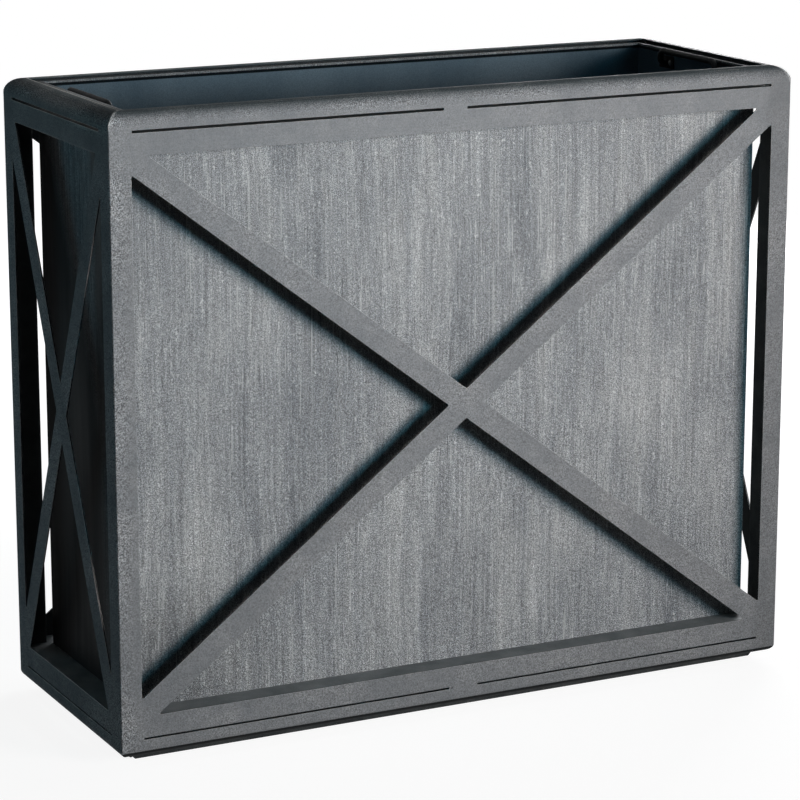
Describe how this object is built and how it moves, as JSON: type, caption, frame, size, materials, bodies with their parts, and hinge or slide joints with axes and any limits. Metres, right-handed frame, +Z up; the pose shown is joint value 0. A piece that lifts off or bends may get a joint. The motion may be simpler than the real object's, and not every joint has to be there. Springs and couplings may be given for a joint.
{
  "type": "versailles planter",
  "caption": "Tall rectangular trough planter: a sheet-metal casing with crossed bars cut in each side, round a box liner that lifts out by rod handles.",
  "frame": {"origin": "on the floor, under the middle of the planter", "axes": "+X along the long side towards the right-hand end, +Y from the front to the back, +Z up"},
  "size_m": [0.914, 0.346, 0.775],
  "materials": {
    "casing_zinc": "dark zinc patina, satin, faint pale speckle and wear along the edges",
    "frame_zinc": "dark zinc patina, matt, mostly in shade",
    "liner_zinc": "zinc patina brushed in long upright streaks, with pale speckle",
    "handle_steel": "near-black patina, satin",
    "rivet_steel": "zinc, worn on the heads",
    "plug_rubber": "matt black rubber"
  },
  "bodies": {
    "casing": {"front_panel": "casing_zinc", "back_panel": "casing_zinc", "left_end_panel": "casing_zinc", "right_end_panel": "casing_zinc", "post_front_left": "frame_zinc", "post_front_right": "frame_zinc", "post_back_left": "frame_zinc", "post_back_right": "frame_zinc", "top_rail_front": "frame_zinc", "top_rail_back": "frame_zinc", "top_rail_left": "frame_zinc", "top_rail_right": "frame_zinc", "bottom_rail_front": "frame_zinc", "bottom_rail_back": "frame_zinc", "bottom_rail_left": "frame_zinc", "bottom_rail_right": "frame_zinc", "cross_rail": "frame_zinc", "base_tray": "frame_zinc", "plinth_front": "frame_zinc", "plinth_back": "frame_zinc", "plinth_left": "frame_zinc", "plinth_right": "frame_zinc"},
    "liner": {"liner_shell": "liner_zinc", "handle_right": "handle_steel", "handle_left": "handle_steel", "handle_foot_right_a": "handle_steel", "handle_foot_right_b": "handle_steel", "handle_foot_left_a": "handle_steel", "handle_foot_left_b": "handle_steel", "handle_rivet_right_1": "rivet_steel", "handle_rivet_right_2": "rivet_steel", "handle_rivet_right_3": "rivet_steel", "handle_rivet_right_4": "rivet_steel", "handle_rivet_left_1": "rivet_steel", "handle_rivet_left_2": "rivet_steel", "handle_rivet_left_3": "rivet_steel", "handle_rivet_left_4": "rivet_steel"},
    "plug_left": {"drain_plug_left": "plug_rubber"},
    "plug_right": {"drain_plug_right": "plug_rubber"}
  },
  "joints": [
    {"name": "liner_lift", "type": "slide", "parent": "casing", "child": "liner", "axis": [0, 0, 1], "range_m": [0, 0.72]},
    {"name": "drain_plug_left_pull", "type": "slide", "parent": "liner", "child": "plug_left", "axis": [0, 0, 1], "range_m": [0, 0.03]},
    {"name": "drain_plug_right_pull", "type": "slide", "parent": "liner", "child": "plug_right", "axis": [0, 0, 1], "range_m": [0, 0.03]}
  ]
}
